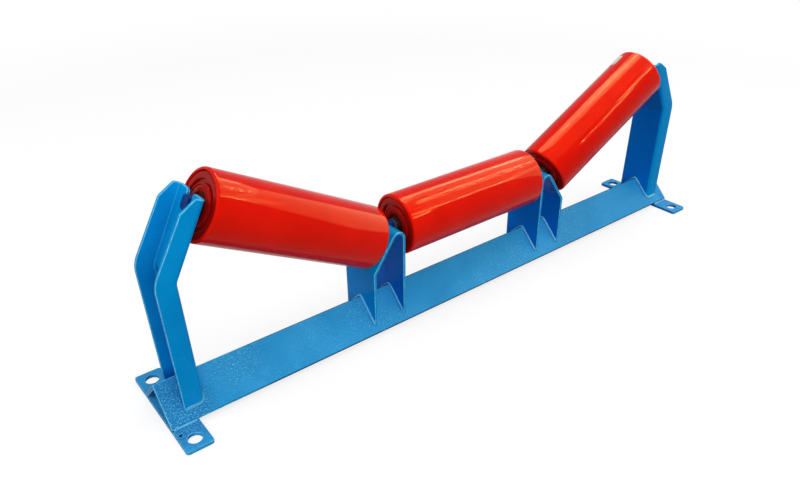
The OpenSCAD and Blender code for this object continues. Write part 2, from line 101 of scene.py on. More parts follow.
def make_camera():
    data = bpy.data.cameras.new("photo_camera")
    data.sensor_width = SENSOR
    data.lens = CAMERA_FOCUS * SENSOR
    data.shift_x, data.shift_y = CAMERA_SHIFT
    data.clip_start, data.clip_end = CAMERA_CLIP
    camera = bpy.data.objects.new("photo_camera", data)
    bpy.context.scene.collection.objects.link(camera)
    level = math.cos(CAMERA_ELEVATION)
    back = Vector((math.sin(CAMERA_AZIMUTH) * level, -math.cos(CAMERA_AZIMUTH) * level,
                   math.sin(CAMERA_ELEVATION)))
    right = (-back).cross(Vector((0, 0, 1))).normalized()
    up = right.cross(-back)
    turn, rise = math.cos(CAMERA_ROLL), math.sin(CAMERA_ROLL)
    across = turn * right + rise * up
    upward = turn * up - rise * right
    camera.matrix_world = Matrix.Translation(CAMERA_PLACE) @ Matrix(
        (across, upward, back)).transposed().to_4x4()
    bpy.context.scene.camera = camera


# ---- Materials ----
class Nodes:
    """A material's node tree, with short calls for what the finishes below share."""

    def __init__(self, name):
        self.material = bpy.data.materials.new(name)
        self.material.use_nodes = True
        self.tree = self.material.node_tree
        self.shader = self.tree.nodes["Principled BSDF"]
        self.place = self.add("ShaderNodeTexCoord").outputs["Object"]

    def add(self, kind, **settings):
        node = self.tree.nodes.new(kind)
        for key, value in settings.items():
            setattr(node, key, value)
        return node

    def link(self, out, socket):
        self.tree.links.new(out, socket)

    def put(self, value, socket):
        if isinstance(value, bpy.types.NodeSocket):
            self.link(value, socket)
        else:
            socket.default_value = value

    def set(self, **values):
        """Sets the shader's sockets by their names, with _ for a space."""
        for key, value in values.items():
            self.put(value, self.shader.inputs[key.replace("_", " ")])

    def math(self, operation, a, b=0.0, clamp=False):
        node = self.add("ShaderNodeMath", operation=operation, use_clamp=clamp)
        self.put(a, node.inputs[0])
        self.put(b, node.inputs[1])
        return node.outputs[0]

    def drawn_out(self, stretch, turn):
        """The place, turned and stretched, on which a texture is drawn out one way."""
        node = self.add("ShaderNodeMapping")
        node.inputs["Scale"].default_value = stretch
        node.inputs["Rotation"].default_value = turn
        self.link(self.place, node.inputs["Vector"])
        return node.outputs["Vector"]

    def noise(self, scale, detail=2.0, rough=0.5, place=None):
        node = self.add("ShaderNodeTexNoise")
        node.inputs["Scale"].default_value = scale
        node.inputs["Detail"].default_value = detail
        node.inputs["Roughness"].default_value = rough
        self.link(place or self.place, node.inputs["Vector"])
        return node.outputs["Fac"]

    def ramp(self, fac, *stops):
        """Goes from one colour to another, each given with the value that it stands at."""
        node = self.add("ShaderNodeValToRGB")
        for end, (at, colour) in zip(node.color_ramp.elements, stops):
            end.position = at
            end.color = (*colour, 1)
        self.link(fac, node.inputs["Fac"])
        return node.outputs["Color"]

    def spread(self, fac, low, high, to_low=0.0, to_high=1.0):
        """Maps the range from low to high onto another, and stays at its ends beyond."""
        node = self.add("ShaderNodeMapRange")
        for key, value in (("From Min", low), ("From Max", high),
                           ("To Min", to_low), ("To Max", to_high)):
            node.inputs[key].default_value = value
        self.link(fac, node.inputs["Value"])
        return node.outputs["Result"]

    def mix(self, fac, a, b):
        """Colour a where fac is 0, and colour b where it is 1."""
        node = self.add("ShaderNodeMix", data_type="RGBA")
        for socket, value in ((node.inputs[0], fac), (node.inputs[6], a), (node.inputs[7], b)):
            if isinstance(value, tuple):
                value = (*value, 1)
            self.put(value, socket)
        return node.outputs[2]

    def near(self, centre, inner, outer):
        """1 within the inner distance from a place, and 0 beyond the outer."""
        node = self.add("ShaderNodeVectorMath", operation="DISTANCE")
        self.link(self.place, node.inputs[0])
        node.inputs[1].default_value = centre
        return self.spread(node.outputs["Value"], inner, outer, 1.0, 0.0)

    def facing(self, direction):
        """How squarely the surface looks in a direction, 1 when it looks straight there."""
        node = self.add("ShaderNodeVectorMath", operation="DOT_PRODUCT")
        self.link(self.add("ShaderNodeNewGeometry").outputs["Normal"], node.inputs[0])
        node.inputs[1].default_value = direction
        return node.outputs["Value"]

    def specks(self, scale, share, size):
        """Small round dots, one in some of the cells of a grid without order."""
        cells = self.add("ShaderNodeTexVoronoi", feature="F1")
        cells.inputs["Scale"].default_value = scale
        self.link(self.place, cells.inputs["Vector"])
        tint = self.add("ShaderNodeSeparateColor")
        self.link(cells.outputs["Color"], tint.inputs[0])
        chosen = self.math("LESS_THAN", tint.outputs[0], share)
        dot = self.spread(cells.outputs["Distance"], size, size * 0.4)
        return self.math("MULTIPLY", self.math("MULTIPLY", dot, chosen), tint.outputs[1])

    def bump(self, *heights):
        """Each height is (texture, depth in metres, strength), from the coarsest to the finest."""
        normal = None
        for height, depth, strength in heights:
            node = self.add("ShaderNodeBump")
            node.inputs["Distance"].default_value = depth
            node.inputs["Strength"].default_value = strength
            self.link(height, node.inputs["Height"])
            if normal:
                self.link(normal, node.inputs["Normal"])
            normal = node.outputs["Normal"]
        self.link(normal, self.shader.inputs["Normal"])


# The blue of the bent plates, the foot plates, the angle iron and the welds, and the painted
# highlight on the sheared edges, each as the two tones that it wanders between
PLATE_BLUES = ((0.0005, 0.260, 0.640), (0.0015, 0.340, 0.780))
ROLLED_BLUES = ((0.020, 0.270, 0.610), (0.040, 0.360, 0.750))
ANGLE_BLUES = ((0.018, 0.275, 0.610), (0.036, 0.365, 0.750))
# The welds' blue is paler, partly bare flux showing through and partly a painted highlight along the beads
WELD_BLUES = ((0.040, 0.400, 0.740), (0.240, 0.700, 0.920))
EDGE_HIGHLIGHT_BLUES = ((0.02, 0.40, 0.76), (0.18, 0.70, 0.92))
# What lies in that paint or over it, and the light and shade painted on it: painted glints on nibs and grain,
# painted shade, a painted highlight in a bend, a painted shadow along the toes, chips, and painted shade with a
# blue reflection on the shaft ends
BLUE_NIB_GLINT = (0.28, 0.76, 0.93)
BLUE_GRAIN_GLINT = (0.16, 0.62, 0.90)
BLUE_SHADE = (0.008, 0.130, 0.360)
BLUE_FACING_SHADE = (0.0004, 0.128, 0.640)
BLUE_CREASE_HIGHLIGHT = (0.04, 0.54, 0.88)
BLUE_TOE_SHADOW = (0.0005, 0.035, 0.110)
BLUE_CHIP = (0.002, 0.020, 0.050)
BLUE_SLOT_SHADE = (0.0005, 0.035, 0.200)
# The other finishes, again as two tones
ROLLER_REDS = ((0.72, 0.0045, 0.0008), (0.84, 0.0072, 0.0016))
BARE_STEEL = ((0.20, 0.21, 0.24), (0.34, 0.36, 0.40))
PAPER = ((0.50, 0.49, 0.47), (0.72, 0.71, 0.69))
# How bright the red is on the pressed ends, against the tubes: darker, as painted shade in the roller's ends
END_SHADE_TONE = 0.5

# Places on the frame where the paint and the painted light and shade differ
LEFT_END = (-FRAME_HALF, 0, RIDGE_Z)
LEFT_FOOT_CORNER = (-FRAME_HALF + 14 * MM, -34 * MM, 22 * MM)
LEFT_RIDGE = (-0.80 * FRAME_HALF, -6 * MM, RIDGE_Z)
LEFT_POST = (-POST_AT, 0, 150 * MM)
# Off to the left of the first bracket, so that only its left leg comes within reach
FIRST_LEG = (LEG_AT - 60 * MM, 0, 80 * MM)
# The painted shadow along the toes is dark below the first height, and gone above the second
TOE_DARK, TOE_CLEAR = FOOT_T + 3.2 * MM, FOOT_T + 4.0 * MM
# Each chip is its place and how far it reaches
CHIPS = (((-494.5 * MM, -54 * MM, FOOT_T), 2.9 * MM),
         ((-499.5 * MM, -42 * MM, FOOT_T), 2.2 * MM))
# Beyond a roller's end, where the painted shade and blue reflection on its shaft begins and where it is full
SLOT_SHADE_FROM, SLOT_SHADE_FULL = 5 * MM, 6.5 * MM
SLOT_SHADE_RAGGED = 2 * MM
# Directions of the faces that take painted shade or a painted highlight
TO_LEFT = (-0.90, 0, -0.44)
TO_FRONT_BELOW = (0, -SLOPE, -SLOPE)
TO_FRONT_LEFT = (-SLOPE, -SLOPE, 0)


def glint_places(m, by_foot, grit_and_glint):
    """Where the grit and nibs in the paint get painted glints and shade: in clouds, on the ridge and round the
    left foot.
    """
    cloud = m.spread(m.noise(13, 3, 0.55), 0.42, 0.66)
    by_ridge = m.near(LEFT_RIDGE, 15 * MM, 60 * MM)
    patches = m.math("MAXIMUM", m.math("MULTIPLY", cloud, 0.75), by_ridge)
    return m.math("MULTIPLY", m.math("MAXIMUM", patches, by_foot), grit_and_glint, clamp=True)


def painted_shade_places(m):
    """Painted shade: a deeper tone on faces that look left or down, weaker on the first bracket's leg."""
    facing_shade = m.math("MAXIMUM", m.spread(m.facing(TO_LEFT), 0.68, 0.88),
                  m.spread(m.facing(TO_FRONT_BELOW), 0.7, 0.95))
    on_leg = m.near(FIRST_LEG, 80 * MM, 100 * MM)
    return m.math("MULTIPLY", facing_shade, m.spread(on_leg, 0, 1, 0.8, 0.3))


def crease_highlight_places(m):
    """A painted highlight: the lighter line in the rear inside bend of the left post."""
    crease = m.math("MULTIPLY", m.spread(m.facing(TO_FRONT_LEFT), 0.86, 0.94),
                    m.near(LEFT_POST, 180 * MM, 240 * MM))
    return m.math("MULTIPLY", crease, 0.6)


def toe_shadow_places(m):
    """Painted shadow on the lowest strip of the angle iron, just above the foot plates."""
    height = m.add("ShaderNodeSeparateXYZ")
    m.link(m.place, height.inputs[0])
    return m.spread(height.outputs["Z"], TOE_DARK, TOE_CLEAR, 1, 0)


def chip_places(m, grain):
    """Ragged spots on the left foot plate, where the paint is knocked off."""
    chips = m.math("MAXIMUM", *(m.near(place, 0.4 * size, size) for place, size in CHIPS))
    ragged = m.math("ADD", chips, m.spread(grain, 0, 1, -0.25, 0.25))
    return m.math("GREATER_THAN", ragged, 0.5)


def frame_paint(name, blues, grit_and_glint, ior, toe_shadow=False):
    """Gloss enamel over steel: orange peel, grit in patches with painted glints and shade on it, darker round the
    left foot corner, painted shade on faces that look left or down, a painted highlight in the left post's bend
    and, if asked, a painted shadow along the toes.
    """
    m = Nodes(name)
    deep, plain = blues
    by_foot = m.near(LEFT_FOOT_CORNER, 30 * MM, 54 * MM)
    glinting = glint_places(m, by_foot, grit_and_glint)
    a_little = m.math("MULTIPLY", glinting, 0.3)
    grain = m.noise(620, 2, 0.75)
    nibs = m.specks(560, 0.50, 0.38)
    # Painted glints on the grain's high spots and the nibs, painted shade in the grain's low spots
    light = m.math("MULTIPLY", m.spread(grain, 0.56, 0.68), glinting, clamp=True)
    dark = m.math("MULTIPLY", m.spread(grain, 0.48, 0.36), a_little, clamp=True)
    nib_glint = m.math("MULTIPLY", nibs, glinting, clamp=True)

    paint = m.ramp(m.noise(9, 4, 0.6), (0.30, deep), (0.70, plain))
    paint = m.mix(m.math("MULTIPLY", by_foot, 0.55 * grit_and_glint), paint, BLUE_SHADE)
    paint = m.mix(painted_shade_places(m), paint, BLUE_FACING_SHADE)
    paint = m.mix(crease_highlight_places(m), paint, BLUE_CREASE_HIGHLIGHT)
    if toe_shadow:
        paint = m.mix(toe_shadow_places(m), paint, BLUE_TOE_SHADOW)
    paint = m.mix(light, paint, BLUE_GRAIN_GLINT)
    paint = m.mix(dark, paint, BLUE_SHADE)
    paint = m.mix(nib_glint, paint, BLUE_NIB_GLINT)
    paint = m.mix(chip_places(m, grain), paint, BLUE_CHIP)

    m.set(Base_Color=paint, Roughness=m.spread(m.noise(60, 3), 0.3, 0.7, 0.24, 0.36),
          IOR=ior, Specular_IOR_Level=1.0, Specular_Tint=(0.05, 0.60, 1.0, 1.0),
          Coat_Weight=0.01, Coat_Roughness=0.15)
    m.bump((m.noise(22, 2), 0.0012, 0.2),
           (grain, 0.0004, 0.12 + 0.45 * grit_and_glint),
           (nibs, 0.0004, 0.4 * grit_and_glint))
    return m.material


def painted_edge_highlight(name, by_foot_only=False):
    """A painted highlight on a rounded sheared edge: lighter, and on the angle only round the left foot, with
    painted shade on its other edges.
    """
    m = Nodes(name)
    deep, plain = EDGE_HIGHLIGHT_BLUES
    paint = m.ramp(m.noise(180, 3, 0.6), (0.30, deep), (0.70, plain))
    if by_foot_only:
        paint = m.mix(m.near(LEFT_END, 90 * MM, 160 * MM), BLUE_TOE_SHADOW, paint)
    m.set(Base_Color=paint, Roughness=m.spread(m.noise(300, 2), 0.3, 0.7, 0.30, 0.42),
          IOR=1.15, Specular_IOR_Level=0.6, Specular_Tint=(0.3, 0.8, 1.0, 1.0))
    return m.material


def roller_paint(name, side, tone=1.0):
    """Gloss red coat with faint marks of the brush along the roller; a lower tone darkens it as painted shade."""
    _, axis, _ = drum_axis(side)
    lean = (0.0, math.atan2(axis.z, axis.x), 0.0)
    m = Nodes(name)
    deep, plain = (tuple(tone * c for c in colour) for colour in ROLLER_REDS)
    strokes = m.noise(34, 3, 0.6, m.drawn_out((0.10, 1, 1), lean))
    fine_strokes = m.noise(160, 2, 0.6, m.drawn_out((0.04, 1, 1), lean))
    m.set(Base_Color=m.ramp(m.noise(14, 4, 0.55), (0.30, deep), (0.70, plain)),
          Roughness=m.spread(strokes, 0.3, 0.7, 0.02, 0.05),
          IOR=1.10, Specular_IOR_Level=1.0, Specular_Tint=(1.0, 0.50, 0.24, 1.0),
          Coat_Weight=0.015, Coat_Roughness=0.05, Coat_IOR=1.4)
    m.bump((strokes, 0.0005, 0.01),
           (fine_strokes, 0.0003, 0.012),
           (m.noise(700, 3, 0.6), 0.0001, 0.008))
    return m.material


def metal(name, colour, rough):
    """Machined or pressed steel without paint."""
    m = Nodes(name)
    dark = tuple(0.8 * c for c in colour)
    m.set(Base_Color=m.ramp(m.noise(120, 3, 0.6), (0.3, dark), (0.7, colour)),
          Roughness=m.spread(m.noise(500, 2), 0.3, 0.7, rough * 0.8, rough * 1.3),
          Metallic=1.0)
    m.bump((m.noise(900, 2), 0.00005, 0.4))
    return m.material


def plastic(name, colour, rough, shine=0.3):
    """Moulded plastic or rubber."""
    m = Nodes(name)
    light = tuple(1.5 * c + 0.002 for c in colour)
    m.set(Base_Color=m.ramp(m.noise(60, 4, 0.6), (0.35, colour), (0.75, light)),
          Roughness=m.spread(m.noise(300, 2), 0.3, 0.7, rough * 0.85, rough * 1.2),
          Specular_IOR_Level=shine)
    m.bump((m.noise(1200, 3, 0.6), 0.0001, 0.35))
    return m.material


def shaft_steel(name, side):
    """Drawn bar, with painted shade and blue reflection on the ends that lie in the frame's slots."""
    centre, axis, _ = drum_axis(side)
    m = Nodes(name)
    offset = m.add("ShaderNodeVectorMath", operation="SUBTRACT")
    m.link(m.place, offset.inputs[0])
    offset.inputs[1].default_value = centre
    along = m.add("ShaderNodeVectorMath", operation="DOT_PRODUCT")
    m.link(offset.outputs[0], along.inputs[0])
    along.inputs[1].default_value = axis
    reach = m.math("ADD", m.math("ABSOLUTE", along.outputs["Value"]),
                   m.spread(m.noise(160, 3), 0.0, 1.0, -SLOT_SHADE_RAGGED, SLOT_SHADE_RAGGED))
    painted = m.spread(reach, ROLLER_HALF + SLOT_SHADE_FROM, ROLLER_HALF + SLOT_SHADE_FULL)
    dark, light = BARE_STEEL
    bare = m.ramp(m.noise(300, 3, 0.6), (0.3, dark), (0.7, light))
    m.set(Base_Color=m.mix(painted, bare, BLUE_SLOT_SHADE),
          Metallic=m.spread(painted, 0.0, 1.0, 1.0, 0.0),
          Roughness=m.spread(m.noise(500, 2), 0.3, 0.7, 0.25, 0.38),
          IOR=1.2, Specular_Tint=(0.1, 0.5, 1.0, 1.0))
    m.bump((m.noise(900, 2), 0.00008, 0.4))
    return m.material


def patch_paper(name):
    """Plain pale paper."""
    m = Nodes(name)
    dark, light = PAPER
    m.set(Base_Color=m.ramp(m.noise(260, 3, 0.6), (0.3, dark), (0.7, light)),
          Roughness=m.spread(m.noise(300, 2), 0.3, 0.7, 0.45, 0.6), Specular_IOR_Level=0.3)
    m.bump((m.noise(120, 2), 0.0003, 0.3), (m.noise(1500, 2), 0.00005, 0.3))
    return m.material


FINISHES = {
    "frame_paint": frame_paint("frame_paint", PLATE_BLUES, grit_and_glint=0.15, ior=1.07),
    "bearing_steel": metal("bearing_steel", (0.62, 0.62, 0.62), rough=0.16),
    "bearing_balls": metal("bearing_balls", (0.75, 0.75, 0.76), rough=0.06),
    "cage_steel": metal("cage_steel", (0.50, 0.48, 0.44), rough=0.30),
    "spring_steel": metal("spring_steel", (0.16, 0.15, 0.15), rough=0.32),
    "seal_plastic": plastic("seal_plastic", (0.020, 0.020, 0.022), rough=0.42),
    "seal_rubber": plastic("seal_rubber", (0.014, 0.014, 0.014), rough=0.60),
    # The covers' dark red-brown is partly their own colour and partly painted shade in the hollow of the roller's
    # end
    "cover_plastic": plastic("cover_plastic", (0.075, 0.006, 0.003), rough=0.60, shine=0.05),
}
DRUM_PAINT = {side: roller_paint(side + "_roller_paint", side) for side in SIDES}
END_SHADED_PAINT = {side: roller_paint(side + "_end_shaded_paint", side, END_SHADE_TONE) for side in SIDES}
SHAFT_STEEL = {side: shaft_steel(side + "_shaft_steel", side) for side in SIDES}
EDGE_HIGHLIGHT = painted_edge_highlight("painted_edge_highlight")
BASE_EDGE_LIGHT_AND_SHADE = painted_edge_highlight("base_edge_light_and_shade", by_foot_only=True)
ROLLED_PAINT = frame_paint("rolled_steel_paint", ROLLED_BLUES, grit_and_glint=1.0, ior=1.07)
ANGLE_PAINT = frame_paint("angle_paint", ANGLE_BLUES, grit_and_glint=1.0, ior=1.04, toe_shadow=True)
WELD_PAINT = frame_paint("weld_paint", WELD_BLUES, grit_and_glint=0.6, ior=1.12)


def finish_of(node, slot):
    """The slot's finish, or the roller's own where it follows the roller's axis."""
    side = node.split("_")[0]
    if slot == "roller_paint":
        # The pressed ends take the darker red of painted shade
        return END_SHADED_PAINT[side]
    if slot == "shaft_steel":
        return SHAFT_STEEL[side]
    return FINISHES[slot]


def dress_cad_nodes():
    """Gives each CAD node the finish for the slot that the record names."""
    for part in frame["record"]["subparts"]:
        mesh = frame["nodes"][part["node"]].data
        mesh.materials.clear()
        mesh.materials.append(finish_of(part["node"], part["material_slot"]))


# ---- Making pieces ----
def new_piece(name, mesh, material, slot, body, *nodes):
    mesh.materials.clear()
    mesh.materials.append(material)
    piece = bpy.data.objects.new(name, mesh)
    bpy.context.scene.collection.objects.link(piece)
    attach(piece, body)
    if nodes:
        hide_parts(*nodes)
    return piece


def smooth_mesh(bm, name, sharp_from=None):
    """A smooth mesh with its normals outwards, sharp at edges beyond an angle in degrees."""
    bmesh.ops.recalc_face_normals(bm, faces=bm.faces)
    mesh = bpy.data.meshes.new(name)
    bm.to_mesh(mesh)
    bm.free()
    mesh.shade_smooth()
    if sharp_from:
        mesh.set_sharp_from_angle(angle=math.radians(sharp_from))
    return mesh


# ---- Frame steel ----
FRAME_STEEL = {
    "base_angle": ANGLE_PAINT,
    "foot_plate_left": ROLLED_PAINT,
    "foot_plate_right": ROLLED_PAINT,
    "end_post_left": FINISHES["frame_paint"],
    "end_post_right": FINISHES["frame_paint"],
    "inner_bracket_left": FINISHES["frame_paint"],
    "inner_bracket_right": FINISHES["frame_paint"],
}
EDGE_ROUND = 0.9 * MM
EDGE_FROM = math.radians(26)
SAME_POINT = 0.002 * MM
SAME_FLAT = math.radians(0.4)


def make_edge_rounded(node, paint):
    """The CAD node with its sheared edges rounded, as paint leaves them."""
    mesh = frame["nodes"][node].data.copy()
    mesh.name = node + "_painted"
    bm = bmesh.new()
    bm.from_mesh(mesh)
    bmesh.ops.remove_doubles(bm, verts=bm.verts, dist=SAME_POINT)
    bmesh.ops.dissolve_limit(bm, angle_limit=SAME_FLAT, verts=bm.verts, edges=bm.edges)
    bm.to_mesh(mesh)
    bm.free()
    if "custom_normal" in mesh.attributes:
        mesh.attributes.remove(mesh.attributes["custom_normal"])
    mesh.shade_smooth()
    piece = new_piece(node + "_painted", mesh, paint, "frame_paint", "frame", node)
    bevel = piece.modifiers.new("painted_edge", "BEVEL")
    bevel.width = EDGE_ROUND
    bevel.segments = 3
    bevel.limit_method = "ANGLE"
    bevel.angle_limit = EDGE_FROM
    bevel.harden_normals = True
    bevel.miter_outer = "MITER_ARC"
    # The rounded edges take the painted highlight; on the angle, painted shade away from the left foot
    mesh.materials.append(BASE_EDGE_LIGHT_AND_SHADE if node == "base_angle" else EDGE_HIGHLIGHT)
    bevel.material = 1


def make_frame_steel():
    for node, paint in FRAME_STEEL.items():
        make_edge_rounded(node, paint)


# ---- Roller tubes ----
SEGMENTS = 192
TUBE_BORE_ROUND = 0.5 * MM


def arc(centre, r, start, stop, steps):
    """Points round a centre, from one angle to another in degrees."""
    angles = [math.radians(start + (stop - start) * k / steps) for k in range(steps + 1)]
    return [(centre[0] + r * math.cos(a), centre[1] + r * math.sin(a)) for a in angles]


def tube_outline():
    """The tube's wall, with its outer rims rounded over and its inner edges broken."""
    bore = ROLLER_R - TUBE_WALL
    inner = (bore + TUBE_BORE_ROUND, ROLLER_HALF - TUBE_BORE_ROUND)
    outer = (ROLLER_R - TUBE_RIM_ROUND, ROLLER_HALF - TUBE_RIM_ROUND)
    top = arc(inner, TUBE_BORE_ROUND, 180, 90, 3) + arc(outer, TUBE_RIM_ROUND, 90, 0, 8)
    return top + [(r, -h) for r, h in reversed(top)]


def lathed(name, outline, place, turn):
    """A closed outline of (radius, height) points, turned round Z and laid in its place."""
    bm = bmesh.new()
    rings = []
    for k in range(SEGMENTS):
        a = math.tau * k / SEGMENTS
        rings.append([bm.verts.new(turn @ Vector((r * math.cos(a), r * math.sin(a), h)) + place)
                      for r, h in outline])
    for k, ring in enumerate(rings):
        after = rings[(k + 1) % SEGMENTS]
        for i in range(len(outline)):
            j = (i + 1) % len(outline)
            bm.faces.new((ring[i], after[i], after[j], ring[j]))
    return smooth_mesh(bm, name, sharp_from=35)


def make_tubes():
    for side in SIDES:
        name = side + "_tube_painted"
        place, _, turn = drum_axis(side)
        mesh = lathed(name, tube_outline(), place, turn)
        new_piece(name, mesh, DRUM_PAINT[side], "roller_paint", side + "_drum", side + "_tube")


# ---- Weld beads ----
BEAD_STEP = 0.6 * MM
BEAD_SIDES = 8
BEAD_MARGIN = 1.2 * MM
# How a bead's size wanders: its least and most, and the distance between two draws
SWELL = (0.86, 1.12)
SWELL_STEP = 4 * MM
# The rounded ends: their length, and the least that a bead's squared size falls to there
BEAD_END = 2.5 * MM
BEAD_END_LEAST = 0.03
# The ripples: their spacing, how far each one's middle runs ahead, and their depth
RIPPLE = 2.3 * MM
RIPPLE_AHEAD = 0.9 * MM
RIPPLE_DEPTH = 0.13
# A bead's cut: its size at its legs, what it gains towards its middle, and its root
BEAD_AT_LEGS, BEAD_BOW = 0.93, 0.07
BEAD_ROOT = 0.12
# How far the joints lie inside the plates, and under the angle's faces
SUNK = 0.3 * MM
RIDGE_SUNK = 0.4 * MM
RIDGE_ROUND = 2 * MM
# Leg lengths outside and inside a plate
PLATE_LEG = 2.6 * MM
INNER_LEG = 0.8 * PLATE_LEG
# The foot beads: their way in from the toe, their leg on the foot plate, and up the toe
FOOT_BEAD_IN = 2.5 * MM
FOOT_LEG = 3.4 * MM
TOE_LEG_OUT, TOE_LEG_UP = 1.0 * MM, 2.8 * MM


def on_ridge(x, y):
    """A place on the angle's outer faces, and the normal there, eased over the ridge."""
    lean = y / math.hypot(y, RIDGE_ROUND)
    normal = Vector((0, lean * SLOPE, math.sqrt(1 - lean * lean / 2)))
    drop = math.hypot(y, RIDGE_ROUND) - RIDGE_ROUND
    return Vector((x, y, RIDGE_Z - RIDGE_SUNK - drop)), normal


def plate_seam(contour, leg, turn):
    """Stations along a plate's foot, with the bead's legs down the angle and up the plate."""
    stations = []
    for (x0, y0), (x1, y1) in zip(contour, contour[1:]):
        run = math.hypot(x1 - x0, y1 - y0)
        for k in range(max(1, round(run / BEAD_STEP))):
            f = k * BEAD_STEP / run
            place, normal = on_ridge(x0 + f * (x1 - x0), y0 + f * (y1 - y0))
            stations.append((place, normal, turn * Vector((y0 - y1, x1 - x0, 0))))
    seam = []
    for k, (place, normal, out) in enumerate(stations):
        before, after = stations[max(k - 1, 0)][0], stations[min(k + 1, len(stations) - 1)][0]
        along = (after - before).normalized()
        across = along.cross(normal).normalized()
        if across.dot(out) < 0:
            across = -across
        rise = (Vector((0, 0, 1)) - along.z * along).normalized()
        seam.append((place, leg * across, leg * rise))
    return seam


def foot_seam(near, far, s):
    """Stations along one toe of the angle, where it lies across a foot plate."""
    steps = int((far - near) / BEAD_STEP)
    y = s * (TOE_Y - FOOT_BEAD_IN)
    over_foot = Vector((0, s * FOOT_LEG, 0))
    up_toe = Vector((0, s * TOE_LEG_OUT, TOE_LEG_UP))
    return [(Vector((near + (far - near) * k / steps, y, FOOT_T - SUNK)), over_foot, up_toe)
            for k in range(steps + 1)]


def bead_ring(bm, place, u, v, size, travelled):
    """One cut through a bead: a bowed and rippled face from leg to leg, and a root."""
    ring = []
    for j in range(BEAD_SIDES + 1):
        a = math.pi / 2 * j / BEAD_SIDES
        bow = math.sin(2 * a)
        phase = (travelled + RIPPLE_AHEAD * bow) / RIPPLE
        ripple = 1 + RIPPLE_DEPTH * bow * (abs(math.sin(math.pi * phase)) - 0.5)
        flat = BEAD_AT_LEGS + BEAD_BOW * bow
        ring.append(bm.verts.new(place + size * ripple * flat
                                 * (u * math.cos(a) + v * math.sin(a))))
    ring.append(bm.verts.new(place - BEAD_ROOT * (u + v)))
    return ring


def add_bead(bm, seam):
    """A convex fillet with the ripples of a hand-laid weld, and rounded ends."""
    rings = []
    travelled = 0.0
    whole = sum((b[0] - a[0]).length for a, b in zip(seam, seam[1:]))
    swell = [DRAW.uniform(*SWELL) for _ in range(int(whole / SWELL_STEP) + 3)]
    last = seam[0][0]
    for place, u, v in seam:
        travelled += (place - last).length
        last = place
        cell = travelled / SWELL_STEP
        k = int(cell)
        size = swell[k] + (cell - k) * (swell[k + 1] - swell[k])
        end = min(travelled, whole - travelled) / BEAD_END
        size *= math.sqrt(max(BEAD_END_LEAST, 1 - (1 - min(end, 1)) ** 2))
        rings.append(bead_ring(bm, place, u, v, size, travelled))
    for first, second in zip(rings, rings[1:]):
        for j in range(len(first)):
            k = (j + 1) % len(first)
            bm.faces.new((first[j], second[j], second[k], first[k]))
    bm.faces.new(rings[0])
    bm.faces.new(list(reversed(rings[-1])))


def make_beads(name, seams, node):
    bm = bmesh.new()
    for seam in seams:
        add_bead(bm, seam)
    mesh = smooth_mesh(bm, name, sharp_from=50)
    new_piece(name, mesh, WELD_PAINT, "frame_paint", "frame", node)


def post_contour(sign, inset):
    """Round a post's foot, from the front flange's free edge to the rear flange's."""
    half, bend = POST_WIDTH / 2 - inset, POST_BEND - inset
    corner = [(POST_BEND - bend * math.sin(math.radians(t)),
               POST_WIDTH / 2 - POST_BEND + bend * math.cos(math.radians(t)))
              for t in range(0, 91, 10)]
    rear = [(POST_DEPTH - BEAD_MARGIN, half)] + corner
    outline = [(d, -y) for d, y in rear] + list(reversed(rear))
    return [(sign * (POST_AT + d), y) for d, y in outline]


def post_seams(sign):
    """One seam round the outside of a post's foot, and one round the inside."""
    return (plate_seam(post_contour(sign, SUNK), PLATE_LEG, sign),
            plate_seam(post_contour(sign, POST_T - SUNK), INNER_LEG, -sign))


def bracket_seams(side):
    """A straight seam over the ridge at each face of a bracket's two legs."""
    low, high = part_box("inner_bracket_" + side)
    half = (high.y - low.y) / 2 - BEAD_MARGIN
    faces = ((low.x + SUNK, 1), (low.x + BRACKET_T - SUNK, -1),
             (high.x - BRACKET_T + SUNK, 1), (high.x - SUNK, -1))
    return [plate_seam([(x, -half), (x, half)], PLATE_LEG, turn) for x, turn in faces]


def foot_seams(side):
    """A seam along each of the angle's two toes."""
    low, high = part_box("foot_plate_" + side)
    return [foot_seam(low.x + BEAD_MARGIN, high.x - BEAD_MARGIN, s) for s in (-1, 1)]


def make_welds():
    for side, sign in (("left", -1), ("right", 1)):
        make_beads(side + "_post_beads", post_seams(sign), "post_welds_" + side)
        make_beads(side + "_bracket_beads", bracket_seams(side), "bracket_welds_" + side)
        make_beads(side + "_foot_beads", foot_seams(side), "foot_welds_" + side)


# ---- Blank patch ----
PATCH_LENGTH, PATCH_WIDTH = 24 * MM, 16 * MM
PATCH_CORNER = 2 * MM
PATCH_T = 0.2 * MM
# How high it stands over the tube, and how much more at its lifted edge
PATCH_PROUD, PATCH_LIFT = 0.25 * MM, 0.8
PATCH_AT = 106 * MM
PATCH_TURN = math.radians(121)
PATCH_ROWS, PATCH_COLUMNS = 14, 20


def patch_row(bm, i):
    """One row of points along the roller, shorter where the corners are round."""
    place, axis, _ = drum_axis("right")
    v = (i / PATCH_ROWS - 0.5) * PATCH_WIDTH
    reach = PATCH_LENGTH / 2
    edge = abs(v) - (PATCH_WIDTH / 2 - PATCH_CORNER)
    if edge > 0:
        reach -= PATCH_CORNER - math.sqrt(max(0.0, PATCH_CORNER ** 2 - edge ** 2))
    a = PATCH_TURN + v / ROLLER_R
    out = Vector((0, -math.cos(a), 0)) + math.sin(a) * axis.cross(Vector((0, 1, 0)))
    row = []
    for j in range(PATCH_COLUMNS + 1):
        h = (2 * j / PATCH_COLUMNS - 1) * reach
        r = ROLLER_R + PATCH_PROUD * (1 + PATCH_LIFT * (j / PATCH_COLUMNS) ** 6)
        row.append(bm.verts.new(place + (PATCH_AT + h) * axis + r * out))
    return row


